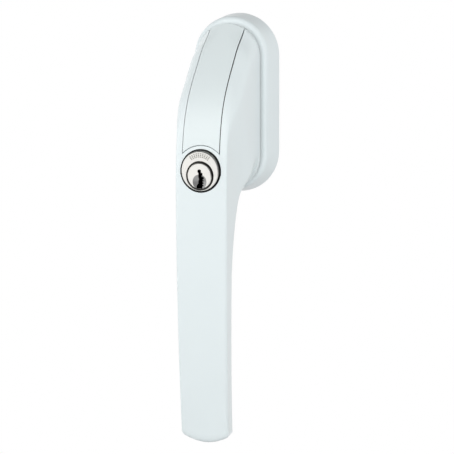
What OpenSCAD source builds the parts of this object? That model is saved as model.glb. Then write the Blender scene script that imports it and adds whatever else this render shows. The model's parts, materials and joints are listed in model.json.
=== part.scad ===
// Lockable tilt-and-turn window handle: a stadium rosette that is screwed to the sash, and an arched
// handle that turns on it and drives a 7 mm square spindle. A key in the neck slides a bolt into a
// notched ring, which stops the handle from turning.
// Origin: on the spindle's axis, in the plane where the rosette meets the sash. The room side is -Y,
// +Z is up and +X is to the right as seen from the room. A depth is a distance from the sash plane
// into the room, so a depth d lies at Y = -d.

/* [Rosette] */
// Width of the rosette cover
rosette_w = 36; // [34:0.5:40]
// Height of the rosette cover
rosette_h = 76; // [74:0.5:84]
// Depth of the rosette cover's face
rosette_d = 11; // [10.5:0.1:11]
// Radius of the rounding round the cover's face
rim_r = 2.2; // [1:0.1:2.6]
// How far the cover's side leans in from its back edge to its rounding
rim_draft = 1.4; // [0:0.1:1.6]
// Wall thickness of the cover
cover_wall = 2; // [1.6:0.1:2]
// Distance between the two fixing screws
screw_pitch = 43; // [43:0.5:44]
// Shank diameter of the fixing screws
screw_dia = 5; // [4:0.5:5]
// Length of the fixing screws below the head
screw_len = 40; // [30:5:50]
// Diameter of the locating bosses on the back
boss_dia = 10; // [10:0.5:11]
// Length of the locating bosses
boss_len = 4; // [2:0.5:6]

/* [Spindle] */
// Side of the square spindle
spindle_side = 7; // [6:0.5:7]
// Length of the spindle beyond the sash plane
spindle_out = 35; // [25:1:45]

/* [Handle] */
// Half the width of the neck where it meets the collar
neck_half_w = 13.5; // [13:0.1:14]
// Height of the top end of the collar and the neck
neck_top = 33.4; // [32:0.1:34]
// Height of the collar's bottom end
collar_bottom = -35.5; // [-36:0.1:-35]
// Depth of the grip's front at its furthest point
grip_front = 45.6; // [45:0.1:46]
// Half the width of the grip below the neck
grip_half_w = 11.1; // [10.8:0.1:11.4]
// Height of the tip of the grip
tip_z = -138.3; // [-145:0.1:-128]
// Rise of the curved end from its middle to its corners
tip_bow = 2.3; // [1:0.1:4]
// Radius along the grip's front edges
edge_r = 1.4; // [1:0.1:3]

/* [Lock] */
// Height of the lock body's axis
lock_z = -25; // [-25.5:0.1:-25]
// Radius of the lock body
lock_r = 8.2; // [8:0.1:8.3]
// Radius of the plug
plug_r = 5.4; // [5.2:0.1:5.4]
// How far the plug's axis lies below the lock body's
plug_drop = 1.9; // [1.5:0.1:1.9]
// Stroke of the locking bolt
bolt_stroke = 3.5; // [3:0.5:3.5]

/* [Hidden] */
$fn = 48;
gap = 0.05;            // running clearance on a radius
far = 60;              // longer than anything that is cut

hub_r = 7.95;
hub_back = 1;
hub_front = 32;
bush_r = 10;
bush_seat = 3.5;
washer_r = 10.6;
washer_back = 3;
washer_front = 3.45;
washer_pocket_r = 11.2;
circlip_r = 9.6;
circlip_bore_r = 7.25;
circlip_back = 2;
circlip_front = 2.9;
ring_r = 11;
ring_bore_r = 8.2;
ring_flange_r = 13.8;
ring_seat = 7.3;
ring_front = 17.6;
rivet_r = 1;
rivet_circle_r = 12.4;
rivet_back = 4.8;
notch_w = 6.2;
notch_back = 13;
base_back = 0.5;
base_front = 8.8;
base_gap = 0.1;
base_side_gap = 0.3;
gasket_gap = 0.3;
pocket_r = 5;          // holes in the cover over the screw heads
head_r = 4.6;
head_seat = 5;
head_d = 2.6;
head_rim = 1.2;        // height of the head's straight rim
head_face_r = 3.2;
screw_gap = 0.15;

collar_back = 11.15;
neck_back = 12.1;
neck_start = 14.6;     // end of the neck's straight wall above the collar
neck_bottom = -33;
under_front = 33.2;    // depth of the grip's back below the neck
shoulder_r = 8;        // radius of the neck's front edges near the collar
back_r = 5;            // radius along the grip's back edges
back_inset = 1;        // how much narrower the grip is at its back, on each side
crown = 0.35;          // how much the grip's front is raised along its middle
tip_round = 2;
cavity_r = 11.3;
cavity_front = 17.9;
detent_d = 10.2;
detent_floor = 3.9;    // bottom of the holes for the detent springs
groove_r = 1.6;
groove_at = 7.6;
ball_r = 1.5;
ball_at = 6.6;
spring_r = 1.3;
spring_bore_r = 0.9;
spring_len = 1.1;
pin_r = 1.5;
pin_d = 24;
spindle_front = 26.8;
spindle_bevel = 0.8;

lock_back = 26;
lock_face = 45.9;
lock_chamfer = 0.3;
mouth_gap = 0.6;       // width of the groove round the lock body
mouth_floor = 43.2;    // bottom of that groove
plug_z = lock_z - plug_drop;
plug_face = 46.4;
plug_chamfer = 0.3;
plug_groove = 0.5;     // width of the groove round the plug
plug_groove_deep = 1.5;
chambers = [30.5, 34, 37.5, 41];
chamber_r = 1.1;
chamber_pin_r = chamber_r - gap;
strip_half_w = 1.3;
strip_deep = 0.8;
strip_back = chambers[0] - 2;
strip_front = chambers[3] + 2;
pin_spring_r = 0.95;
pin_spring_bore_r = 0.6;
key_pin_foot = 2.3;    // height of the key pins' feet above the plug's axis
driver_len = 1.9;
tail_r = 2.2;
clip_r = 3.6;
clip_back = 24.6;
clip_front = 25.4;
cam_r = 3.7;
cam_back = 18.1;
cam_front = 20.6;
cam_gap = 0.4;
throw_r = bolt_stroke / 2 / sin(45);
drive_r = 1;
slot_gap = 0.13;
bolt_back = 13.4;
bolt_front = 17.6;
bolt_tail_w = 4.7;
bolt_shank_w = 3;
bolt_gap = 0.2;
bolt_end_gap = 0.3;
bolt_tip = -12.6;
bolt_slot_z = plug_z - bolt_stroke / 2;
bolt_bottom = bolt_slot_z - 2.1;
bolt_shoulder = bolt_slot_z + 3;
channel_bottom = bolt_bottom - bolt_end_gap;
channel_top = bolt_shoulder + bolt_stroke + bolt_end_gap;
grub_r = 1.5;
grub_d = 28.5;
lock_top = lock_z + lock_r;
grub_end = lock_z - lock_r + 0.4;
grub_len = 4;

// The stepped keyway, seen from the front and measured from the plug's axis, with wards on one side
keyway = [[-0.3, 1.6], [0.5, 1.6], [1.2, 1.1], [1.2, 0.3], [0.9, 0], [1.6, -0.5], [1.6, -1.1], [1.1, -1.5],
    [1.4, -1.9], [1, -2.5], [1.4, -2.9], [1, -3.5], [1.5, -3.9], [1.2, -4.4], [1.2, -5.1], [-1.1, -5.1],
    [-1.1, -3.9], [-0.8, -3.2], [-0.8, -2.2], [-0.5, -1.4], [-0.5, -0.2], [-0.3, 0.4]];
keyway_eye_z = 1.9;    // round eye at the top of the keyway
keyway_eye_r = 0.6;
cone_r = 3;            // mouth of the cone that leads the key in
cone_drop = 2.4;
cone_deep = 1.3;
keyway_back = chambers[0] - 2.5;

panel_top = 36;
panel_half_top = 7.5;
panel_half_bottom = 7.9;
panel_arc_r = 11.3;
panel_arc_z = lock_z - 1;
panel_thick = 1.5;
panel_root = 3.2;      // thickness of the panel at its curved top end
panel_gap = 0.15;
panel_pegs = [[14, 26, 29.6], [-6, 36, 41.4]];   // height, and depths of the two ends
peg_r = 1.2;
peg_gap = 0.05;
peg_end_gap = 0.2;

white = [0.93, 0.94, 0.93];
nickel = [0.78, 0.77, 0.73];
steel = [0.62, 0.64, 0.66];
zinc = [0.66, 0.67, 0.68];
nylon = [0.9, 0.88, 0.8];

// ---------- Helpers ----------

// A rod along Y from depth d1 to depth d2
module rod(r, d1, d2, x = 0, z = 0) {
    translate([x, -d1, z]) rotate([90, 0, 0]) cylinder(r = r, h = d2 - d1);
}

// A cone along Y, radius r1 at depth d1 and r2 at depth d2
module taper(r1, r2, d1, d2, x = 0, z = 0) {
    translate([x, -d1, z]) rotate([90, 0, 0]) cylinder(r1 = r1, r2 = r2, h = d2 - d1);
}

// A ring along Y
module ring(r, bore, d1, d2) {
    difference() {
        rod(r, d1, d2);
        rod(bore, d1 - 1, d2 + 1);
    }
}

// A front view outline (x, z), given depth d1 to d2
module slab(d1, d2) {
    translate([0, -d1, 0]) rotate([90, 0, 0]) linear_extrude(d2 - d1) children();
}

// A box by its limits in x, depth and z
module block(x1, x2, d1, d2, z1, z2) {
    translate([x1, -d2, z1]) cube([x2 - x1, d2 - d1, z2 - z1]);
}

// A side view outline (depth, z), given a width across X
module side_slab(w) {
    rotate([90, 0, -90]) linear_extrude(w, center = true) children();
}

// An upright stadium, from z1 to z2
module stadium(half_w, z1, z2) {
    union() {
        translate([-half_w, z1 + half_w]) square([2 * half_w, z2 - z1 - 2 * half_w]);
        for (z = [z1 + half_w, z2 - half_w]) translate([0, z]) circle(half_w);
    }
}

module at_screws() {
    for (s = [-1, 1]) translate([0, 0, s * screw_pitch / 2]) children();
}

module at_rivets() {
    for (a = [45:90:315]) rotate([0, a, 0]) translate([rivet_circle_r, 0, 0]) children();
}

// ---------- Shape of the handle ----------

function mix(a, b, t) = a + (b - a) * t;
function ease(t) = let (c = min(max(t, 0), 1)) c * c * (3 - 2 * c);
function bezier(p, t) = pow(1 - t, 3) * p[0] + 3 * pow(1 - t, 2) * t * p[1]
    + 3 * (1 - t) * t * t * p[2] + t * t * t * p[3];
function bezier_slope(p, t) = 3 * pow(1 - t, 2) * (p[1] - p[0]) + 6 * (1 - t) * t * (p[2] - p[1])
    + 3 * t * t * (p[3] - p[2]);

// Side view curves, as [depth, z]: the neck's front, and its underside
grip_top = -62.5;
under_top = -69.7;
front_curve = [[neck_start, neck_top], [45.5, -2.8], [grip_front - 0.2, 2], [grip_front, grip_top]];
under_curve = [[neck_start, neck_bottom], [15, neck_bottom], [29, -26.5], [under_front, under_top]];

// A point on the neck's front, moved out by h
function front_point(t, h) = let (s = bezier_slope(front_curve, t), n = [-s[1], s[0]] / norm(s))
    bezier(front_curve, t) + n * h;

// Depths of the grip's front and back at a height below the neck
function below(z, top) = pow(max((z - top) / (tip_z - top), 0), 2.2);
function grip_front_at(z) = grip_front - 2.1 * below(z, grip_top);
function grip_back_at(z) = under_front - 2.5 * below(z, under_top);

// One section: [front point, back point, half width, front radius, back radius, inset at the back,
// crown, bow]
base_section = [[neck_back, neck_top], [neck_back, neck_bottom],
    neck_half_w, neck_half_w, neck_half_w, 0, 0, 0];
function neck_section(t) = [bezier(front_curve, t), bezier(under_curve, t),
    mix(neck_half_w, grip_half_w, ease((t - 0.28) / 0.38)),
    mix(mix(neck_half_w, shoulder_r, ease(t / 0.12)), edge_r, ease((t - 0.17) / 0.48)),
    mix(neck_half_w, back_r, ease(t / 0.55)),
    back_inset * ease((t - 0.1) / 0.9), crown * ease((t - 0.6) / 0.4), 0];
function grip_section(t) = let (zf = mix(grip_top, tip_z + tip_round, t),
    zb = mix(under_top, tip_z + tip_round, t))
    [[grip_front_at(zf), zf], [grip_back_at(zb), zb],
    mix(grip_half_w, grip_half_w - 0.7, t), edge_r, back_r, back_inset, crown,
    tip_bow * ease((t - 0.5) / 0.5)];
// The end is rounded by shrinking the last section through an angle from 0 to 90
function tip_section(a) = let (e = tip_round * (1 - cos(a)), z = tip_z + tip_round * (1 - sin(a)))
    [[grip_front_at(tip_z) - e, z], [grip_back_at(tip_z) + e, z],
    grip_half_w - 0.7 - e, max(edge_r - e / 2, 0.4), back_r - e, back_inset, crown, tip_bow];

sections = concat([base_section],
    [for (i = [0:18]) neck_section(pow(i / 18, 1.15))],
    [for (i = [1:8]) grip_section(i / 8)],
    [for (a = [30, 60, 90]) tip_section(a)]);

// Points round one section: its front corners have the front radius, its back corners the back one
corner_steps = 7;
function corner(cx, cv, r, from) = [for (i = [0:corner_steps])
    let (a = from + 90 * i / corner_steps) [cx + r * cos(a), cv + r * sin(a)]];
// Points between two corners, along the section's front or back
flat_steps = 6;
function across(x1, x2, v) = [for (i = [1:flat_steps - 1]) [mix(x1, x2, i / flat_steps), v]];
function flat_ring(len, wf, wb, rf, rb) = concat(
    corner(wf - rf, len - rf, rf, 0), across(wf - rf, rf - wf, len), corner(rf - wf, len - rf, rf, 90),
    corner(rb - wb, rb, rb, 180), across(rb - wb, wb - rb, 0), corner(wb - rb, rb, rb, 270));
function section_ring(s) = let (along = s[0] - s[1], len = norm(along), dir = along / len,
    wf = s[2], wb = s[2] - s[5])
    [for (p = flat_ring(len, wf, wb, min(s[3], wf - 0.05), min(s[4], wb - 0.05)))
        let (out = pow(p[0] / wf, 2), q = s[1] + dir * p[1] * (1 - s[6] * out / len))
        [p[0], -q[0], q[1] + s[7] * out]];
function section_middle(s) = let (q = (s[0] + s[1]) / 2) [0, -q[0], q[1]];

// A closed skin over all the sections
module handle_skin() {
    rings = [for (s = sections) section_ring(s)];
    n = len(rings[0]);
    m = len(rings);
    points = concat([for (r = rings) for (p = r) p],
        [section_middle(sections[0]), section_middle(sections[m - 1])]);
    sides = [for (j = [0:m - 2]) for (i = [0:n - 1])
        let (a = j * n + i, b = j * n + (i + 1) % n)
        each [[a, b + n, b], [a, a + n, b + n]]];
    start_cap = [for (i = [0:n - 1]) [n * m, i, (i + 1) % n]];
    end_cap = [for (i = [0:n - 1]) [n * m + 1, (m - 1) * n + (i + 1) % n, (m - 1) * n + i]];
    polyhedron(points, concat(sides, start_cap, end_cap));
}

// Front view of the panel, made larger by grow
module panel_outline(grow) {
    difference() {
        polygon([[-panel_half_top - grow, panel_top + grow], [panel_half_top + grow, panel_top + grow],
            [panel_half_bottom + grow, lock_z], [-panel_half_bottom - grow, lock_z]]);
        translate([0, panel_arc_z]) circle(panel_arc_r - grow, $fn = 72);
    }
}

// Everything in front of the panel's seat, which follows the neck's front a little below it
module before_seat(lift) {
    // The points go on past the panel's lower end
    floor_points = [for (i = [0:16]) let (t = i / 20)
        front_point(t, lift - mix(panel_root, panel_thick, ease(t / 0.3)))];
    start = neck_back + 0.9;
    side_slab(2 * neck_half_w) polygon(concat(
        [[start, neck_top - 2.5]],
        [for (p = floor_points) if (p[0] > start + 0.3) p],
        [[far, lock_z + 5], [far, 40], [start, 40]]));
}

// ---------- Rosette ----------

module back_gasket() {
    color([0.35, 0.36, 0.37]) slab(0, base_back) difference() {
        stadium(rosette_w / 2 - cover_wall - gasket_gap, -rosette_h / 2 + cover_wall + gasket_gap,
            rosette_h / 2 - cover_wall - gasket_gap);
        circle(washer_pocket_r);
        for (s = [-1, 1]) translate([0, s * screw_pitch / 2]) circle(boss_dia / 2 + 1);
    }
}

module rosette_base() {
    inset = cover_wall + rim_draft + base_side_gap;
    color(zinc) difference() {
        union() {
            slab(base_back, base_front)
                stadium(rosette_w / 2 - inset, -rosette_h / 2 + inset, rosette_h / 2 - inset);
            at_screws() rod(boss_dia / 2, -boss_len, base_back + 1);
        }
        rod(washer_pocket_r, -1, bush_seat);
        rod(bush_r, bush_seat - 0.5, ring_seat + 0.5);
        rod(ring_flange_r + gap, ring_seat, base_front + 1);
        at_screws() {
            rod(screw_dia / 2 + screw_gap, -boss_len - 1, base_front + 1);
            rod(pocket_r - 0.1, head_seat, base_front + 1);
        }
        at_rivets() rod(rivet_r, rivet_back, ring_seat + 1);
    }
}

// Half of the cover's cross-section: half width and depth, with the leaning side and rounded rim
function rim_profile(half_w, depth, draft, r) = concat([[0, 0], [half_w, 0]],
    [for (a = [0:11.25:90]) [half_w - draft - r + r * cos(a), depth - r + r * sin(a)]], [[0, depth]]);

// A stadium block with a rounded rim
module rounded_stadium(half_w, half_h, depth, draft, r) {
    profile = rim_profile(half_w, depth, draft, r);
    straight = half_h - half_w;
    union() {
        for (s = [-1, 1]) translate([0, 0, s * straight]) rotate([90, 0, 0])
            rotate_extrude() polygon(profile);
        translate([0, 0, -straight]) linear_extrude(2 * straight)
            polygon(concat([for (p = profile) [p[0], -p[1]]],
                [for (i = [len(profile) - 2:-1:1]) [-profile[i][0], -profile[i][1]]]));
    }
}

module rosette_cover() {
    inner_w = rosette_w / 2 - cover_wall;
    inner_h = rosette_h / 2 - cover_wall;
    color(white) difference() {
        rounded_stadium(rosette_w / 2, rosette_h / 2, rosette_d, rim_draft, rim_r);
        translate([0, 1, 0]) rounded_stadium(inner_w, inner_h, base_front + base_gap + 1, rim_draft, 0.3);
        rod(ring_r + 0.5, 1, rosette_d + 1);
        at_screws() rod(pocket_r, 1, rosette_d + 1);
    }
}

module bearing_bush() {
    color(nylon) ring(bush_r, hub_r + gap, bush_seat, ring_seat);
}

module index_ring() {
    color(steel) difference() {
        union() {
            rod(ring_flange_r, ring_seat, base_front);
            rod(ring_r, ring_seat, ring_front);
        }
        rod(ring_bore_r, ring_seat - 1, ring_front + 1);
        for (a = [0:90:270]) rotate([0, a, 0]) {
            block(-notch_w / 2, notch_w / 2, notch_back, ring_front + 1, 4, ring_r + 1);
            rod(groove_r, detent_d - groove_r, detent_d + groove_r, groove_at);
        }
        at_rivets() rod(rivet_r, ring_seat - 1, base_front + 1);
    }
}

module ring_rivets() {
    color(steel) at_rivets() rod(rivet_r, rivet_back, base_front);
}

// A countersunk machine screw with a cross recess, and a waisted shank inside the boss
module fixing_screw() {
    color(steel) difference() {
        union() {
            rod(screw_dia / 2, head_seat - screw_len, -boss_len - 0.2);
            rod(screw_dia / 2 - 0.3, -boss_len - 0.5, head_seat + 0.5);
            rod(head_r, head_seat, head_seat + head_rim);
            taper(head_r, head_face_r, head_seat + head_rim, head_seat + head_d);
        }
        for (a = [0, 90]) rotate([0, a, 0])
            block(-2, 2, head_seat + 1, head_seat + 4, -0.5, 0.5);
        rod(1.1, head_seat + 0.4, head_seat + 4);
    }
}

module fixing_screw_top() {
    translate([0, 0, screw_pitch / 2]) fixing_screw();
}

module fixing_screw_bottom() {
    translate([0, 0, -screw_pitch / 2]) fixing_screw();
}

// ---------- Handle ----------

module handle_body() {
    color(white) difference() {
        handle_skin();
        // Ring cavity and hub bore
        rod(cavity_r, neck_back - 1, cavity_front);
        rod(hub_r, cavity_front - 1, hub_front + 0.1);
        // Recess for the panel, and its peg holes
        intersection() {
            before_seat(0);
            slab(neck_back, far) panel_outline(panel_gap);
        }
        for (p = panel_pegs) rod(peg_r + peg_gap, p[1] - peg_end_gap, far, 0, p[0]);
        // Seat of the lock, with a wider mouth
        rod(lock_r + gap, lock_back, far, 0, lock_z);
        rod(lock_r + mouth_gap, mouth_floor, far, 0, lock_z);
        rod(cam_r + cam_gap, bolt_front - 0.6, lock_back + 1, 0, plug_z);
        translate([0, -grub_d, grub_end - 30]) cylinder(r = grub_r, h = 31);
        // Channel of the bolt, and the seat of its cover
        block(-bolt_tail_w - bolt_gap, bolt_tail_w + bolt_gap, neck_back - 1, bolt_front + bolt_gap,
            channel_bottom, channel_top);
        block(-bolt_shank_w - 0.15, bolt_shank_w + 0.15, neck_back - 1, bolt_front + bolt_gap,
            bolt_shoulder, -cavity_r + 1);
    }
}

module base_collar() {
    color([0.9, 0.91, 0.9]) slab(collar_back, neck_back) difference() {
        stadium(neck_half_w, collar_bottom, neck_top);
        circle(cavity_r);
    }
}

module front_panel() {
    color([0.95, 0.95, 0.95]) union() {
        intersection() {
            handle_skin();
            before_seat(0.03);
            slab(neck_back, far) panel_outline(0);
        }
        for (p = panel_pegs) rod(peg_r, p[1], p[2], 0, p[0]);
    }
}

module hub() {
    side = spindle_side / 2 + 0.03;
    color(zinc) difference() {
        rod(hub_r, hub_back, hub_front);
        ring(hub_r + 1, circlip_bore_r - gap, circlip_back - 0.1, circlip_front + 0.1);
        block(-side, side, hub_back - 1, spindle_front + 0.2, -side, side);
        for (s = [-1, 1]) rotate([0, s * 90, 0]) translate([0, -detent_d, detent_floor])
            cylinder(r = ball_r + 0.1, h = far);
        translate([-far / 2, -pin_d, 0]) rotate([0, 90, 0]) cylinder(r = pin_r, h = far);
    }
}

module spindle() {
    half = spindle_side / 2;
    color(steel) difference() {
        union() {
            block(-half, half, spindle_bevel - spindle_out, spindle_front, -half, half);
            translate([0, spindle_out - spindle_bevel, 0]) rotate([-90, 45, 0])
                cylinder(r1 = half * sqrt(2), r2 = (half - 0.7) * sqrt(2), h = spindle_bevel, $fn = 4);
        }
        translate([-far / 2, -pin_d, 0]) rotate([0, 90, 0]) cylinder(r = pin_r, h = far);
    }
}

module spindle_pin() {
    color(steel) translate([-hub_r + 0.3, -pin_d, 0]) rotate([0, 90, 0])
        cylinder(r = pin_r, h = 2 * hub_r - 0.6);
}

module retaining_circlip() {
    color(steel) difference() {
        union() {
            ring(circlip_r, circlip_bore_r, circlip_back, circlip_front);
            for (s = [-1, 1]) rod(1.5, circlip_back, circlip_front, s * 3, -8.9);
        }
        block(-1.6, 1.6, 1, 4, -12, -6);
        rod(circlip_bore_r, 1, 4);
        for (s = [-1, 1]) rod(0.6, 1, 4, s * 3.2, -9.1);
    }
}

module wave_washer() {
    color(steel) ring(washer_r, hub_r + 0.2, washer_back, washer_front);
}

module detent_ball() {
    color(steel) translate([ball_at, -detent_d, 0]) sphere(r = ball_r, $fn = 32);
}

module detent_spring() {
    color(steel) translate([detent_floor + gap, -detent_d, 0]) rotate([0, 90, 0]) difference() {
        cylinder(r = spring_r, h = spring_len);
        translate([0, 0, -1]) cylinder(r = spring_bore_r, h = spring_len + 2);
    }
}

module detent_ball_left() {
    mirror([1, 0, 0]) detent_ball();
}

module detent_ball_right() {
    detent_ball();
}

module detent_spring_left() {
    mirror([1, 0, 0]) detent_spring();
}

module detent_spring_right() {
    detent_spring();
}

// ---------- Lock ----------

module lock_body() {
    color(nickel) difference() {
        union() {
            rod(lock_r, lock_back, lock_face - lock_chamfer, 0, lock_z);
            taper(lock_r, lock_r - lock_chamfer, lock_face - lock_chamfer, lock_face, 0, lock_z);
        }
        rod(plug_r + gap, lock_back - 1, lock_face + 1, 0, plug_z);
        rod(plug_r + plug_groove, lock_face - plug_groove_deep, lock_face + 1, 0, plug_z);
        for (d = chambers) translate([0, -d, plug_z + 3]) cylinder(r = chamber_r, h = 12);
        block(-strip_half_w, strip_half_w, strip_back, strip_front, lock_top - strip_deep, lock_top + 1);
        translate([0, -grub_d, grub_end - 3]) cylinder(r = grub_r, h = 3);
    }
}

module lock_grub_screw() {
    color(steel) difference() {
        translate([0, -grub_d, grub_end - grub_len]) cylinder(r = grub_r, h = grub_len);
        translate([0, -grub_d, grub_end - grub_len - 1]) cylinder(r = 0.75, h = 2.5, $fn = 6);
    }
}

module chamber_strip() {
    color(nickel) block(-strip_half_w, strip_half_w, strip_back, strip_front,
        lock_top - strip_deep, lock_top - 0.15);
}

module driver_pins() {
    color("goldenrod") for (d = chambers) translate([0, -d, plug_z + plug_r + 0.1])
        cylinder(r = chamber_pin_r, h = driver_len);
}

module pin_springs() {
    base = plug_z + plug_r + 0.1 + driver_len;
    color(steel) for (d = chambers) translate([0, -d, base]) difference() {
        cylinder(r = pin_spring_r, h = lock_top - strip_deep - base);
        translate([0, 0, -1]) cylinder(r = pin_spring_bore_r, h = 6);
    }
}

module bolt_cover() {
    color(steel) union() {
        block(-bolt_tail_w - bolt_gap, bolt_tail_w + bolt_gap, neck_back, bolt_back - 0.15,
            channel_bottom, channel_top);
        block(-bolt_shank_w, bolt_shank_w, neck_back, bolt_back - 0.15,
            bolt_shoulder, -cavity_r - 0.8);
    }
}

module lock_plug() {
    color(nickel) difference() {
        union() {
            rod(plug_r, lock_back + 0.2, plug_face - plug_chamfer, 0, plug_z);
            taper(plug_r, plug_r - plug_chamfer, plug_face - plug_chamfer, plug_face, 0, plug_z);
            rod(tail_r, cam_front - 1, lock_back + 0.5, 0, plug_z);
        }
        slab(keyway_back, far) translate([0, plug_z]) polygon(keyway);
        rod(keyway_eye_r, keyway_back, far, 0, plug_z + keyway_eye_z);
        taper(0.5, cone_r, plug_face - cone_deep, plug_face, 0.1, plug_z - cone_drop);
        for (d = chambers) translate([0, -d, plug_z + 1.5]) cylinder(r = chamber_r, h = 6);
    }
}

module key_pins() {
    color("goldenrod") for (d = chambers) translate([0, -d, plug_z + key_pin_foot])
        cylinder(r = chamber_pin_r, h = plug_r - 0.2 - key_pin_foot);
}

module plug_clip() {
    color(steel) translate([0, 0, plug_z]) ring(clip_r, tail_r, clip_back, clip_front);
}

module drive_cam() {
    color(steel) union() {
        translate([0, 0, plug_z]) ring(cam_r, tail_r, cam_front - 1, cam_front + 1);
        rod(cam_r, cam_back, cam_front - 1, 0, plug_z);
        rod(drive_r, bolt_back + 0.7, cam_back + 0.5, bolt_stroke / 2, plug_z - bolt_stroke / 2);
    }
}

module locking_bolt() {
    slot_h = drive_r + slot_gap;
    color(steel) difference() {
        union() {
            block(-bolt_tail_w, bolt_tail_w, bolt_back, bolt_front, bolt_bottom, bolt_shoulder);
            block(-bolt_shank_w, bolt_shank_w, bolt_back, bolt_front, bolt_shoulder - 1, bolt_tip);
        }
        block(0.4, throw_r + drive_r + 0.3, bolt_back - 1, bolt_front + 1,
            bolt_slot_z - slot_h, bolt_slot_z + slot_h);
    }
}

back_gasket();
rosette_base();
rosette_cover();
bearing_bush();
index_ring();
ring_rivets();
fixing_screw_top();
fixing_screw_bottom();
handle_body();
base_collar();
front_panel();
hub();
spindle();
spindle_pin();
retaining_circlip();
wave_washer();
detent_ball_left();
detent_ball_right();
detent_spring_left();
detent_spring_right();
lock_body();
lock_grub_screw();
chamber_strip();
driver_pins();
pin_springs();
bolt_cover();
lock_plug();
key_pins();
plug_clip();
drive_cam();
locking_bolt();
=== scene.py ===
"""Looks for the lockable window handle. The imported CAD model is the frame; every size here is read
from it or is a named value in millimetres. A depth is a distance from the sash plane into the room,
so a depth d lies at y = -d."""
import json
import math

import bmesh
import bpy
import numpy as np
from mathutils import Matrix, Vector


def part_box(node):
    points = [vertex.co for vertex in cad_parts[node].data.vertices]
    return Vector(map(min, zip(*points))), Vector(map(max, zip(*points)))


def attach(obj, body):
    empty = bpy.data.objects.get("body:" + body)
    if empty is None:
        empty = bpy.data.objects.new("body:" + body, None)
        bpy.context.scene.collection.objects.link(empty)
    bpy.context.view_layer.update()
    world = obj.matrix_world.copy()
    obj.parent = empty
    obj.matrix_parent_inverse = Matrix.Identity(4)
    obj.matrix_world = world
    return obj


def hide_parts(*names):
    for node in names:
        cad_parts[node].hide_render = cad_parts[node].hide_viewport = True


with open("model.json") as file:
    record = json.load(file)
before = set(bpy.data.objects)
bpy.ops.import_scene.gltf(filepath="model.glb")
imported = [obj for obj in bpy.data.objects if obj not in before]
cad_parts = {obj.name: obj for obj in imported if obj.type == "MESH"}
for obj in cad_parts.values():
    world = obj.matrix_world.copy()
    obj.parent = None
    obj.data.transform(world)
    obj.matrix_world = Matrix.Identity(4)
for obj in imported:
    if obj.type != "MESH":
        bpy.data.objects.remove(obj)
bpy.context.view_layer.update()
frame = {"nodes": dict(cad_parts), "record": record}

MM = 0.001
SAME_POINT = 0.002         # points closer than this are one point


# ---------- Sizes from the frame ----------

def limits(node):
    """Lowest and highest corner of a CAD node, in millimetres, as two arrays."""
    low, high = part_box(node)
    return np.array(low) / MM, np.array(high) / MM


cover_low, cover_high = limits("rosette_cover")
body_low, body_high = limits("handle_body")
collar_low, collar_high = limits("base_collar")
lock_low, lock_high = limits("lock_body")
plug_low, plug_high = limits("lock_plug")
spindle_low, spindle_high = limits("spindle")
screw_low, screw_high = limits("fixing_screw_top")

ROSETTE_HALF_W = cover_high[0]
ROSETTE_HALF_H = cover_high[2]
ROSETTE_D = -cover_low[1]
RIM_R = 2.2
RIM_DRAFT = 1.4
COVER_WALL = 2.0
COVER_BORE_R = 11.5
SCREW_Z = 21.5
SCREW_POCKET_R = 5.0

NECK_BACK = -body_high[1]
NECK_HALF_W = body_high[0]
NECK_TOP = body_high[2]
NECK_START = 14.6
NECK_BOTTOM = -33.0
GRIP_FRONT = -body_low[1]
GRIP_HALF_W = 11.1
GRIP_TAPER = 0.7
GRIP_TOP = -62.5
UNDER_TOP = -69.7
UNDER_FRONT = 33.2
SHOULDER_R = 8.0
EDGE_R = 1.4
BACK_R = 5.0
BACK_INSET = 1.0
CROWN = 0.35
TIP_Z = body_low[2]
TIP_BOW = 2.3
TIP_ROUND = 2.0
COLLAR_STEP = 1.2          # depth of the shadow groove's step
COLLAR_GROOVE = 0.6        # width of the shadow groove against the rosette
COLLAR_EDGE_R = 0.2
CAVITY_R = 11.3
CAVITY_FRONT = 17.9
HUB_R = 8.0
HUB_FRONT = 32.1
BOLT_CHANNEL_TOP = -19.15
BOLT_CHANNEL_GAP = 0.2
BOLT_SHANK_HALF = 3.15

LOCK_Z = (lock_low[2] + lock_high[2]) / 2
LOCK_R = lock_high[0]
LOCK_FACE = -lock_low[1]
LOCK_BACK = -lock_high[1]
PLUG_Z = (plug_low[2] + plug_high[2]) / 2
PLUG_R = plug_high[0]
PLUG_FACE = -plug_low[1]
LOCK_CHAMFER = 0.3
FIT_GAP = 0.05             # clearance on a radius
MOUTH_GAP = 0.6
MOUTH_FLOOR = 43.2
PLUG_BACK = 26.2
PLUG_CHAMFER = 0.3
PLUG_GROOVE = 0.5
PLUG_GROOVE_DEEP = 1.5
TAIL_R = 2.2
TAIL_BACK = -plug_high[1]
CHAMBERS = (30.5, 34.0, 37.5, 41.0)
CHAMBER_R = 1.1
STRIP_HALF_W = 1.3
STRIP_DEEP = 0.8
WALL_LEAN = 0.2            # how far the standing walls of the lock lean in towards their chamfers
CAM_BORE_R = 4.1
CAM_BORE_BACK = 17.0
DETENT_D = 10.2
GRUB_R = 1.5
GRUB_D = 28.5
GRUB_HOLE_LOW = -66.0
# The stepped keyway, seen from the front and measured from the plug's axis, with wards on one side
KEYWAY = [(-0.4, 1.6), (0.5, 1.6), (1.4, 1.2), (1.4, 0.4), (0.8, 0), (1.8, -0.5), (1.8, -1.1), (1, -1.5),
          (1.7, -1.9), (0.9, -2.5), (1.7, -2.9), (0.9, -3.5), (1.8, -3.9), (1.1, -4.4), (1.3, -5.1),
          (-1.3, -5.1), (-1.3, -3.9), (-0.9, -3.2), (-0.9, -2.2), (-0.6, -1.4), (-0.6, -0.2), (-0.4, 0.4)]
KEYWAY_BACK = 28.0
KEYWAY_EYE_Z = 1.9
KEYWAY_EYE_R = 0.8
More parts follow.
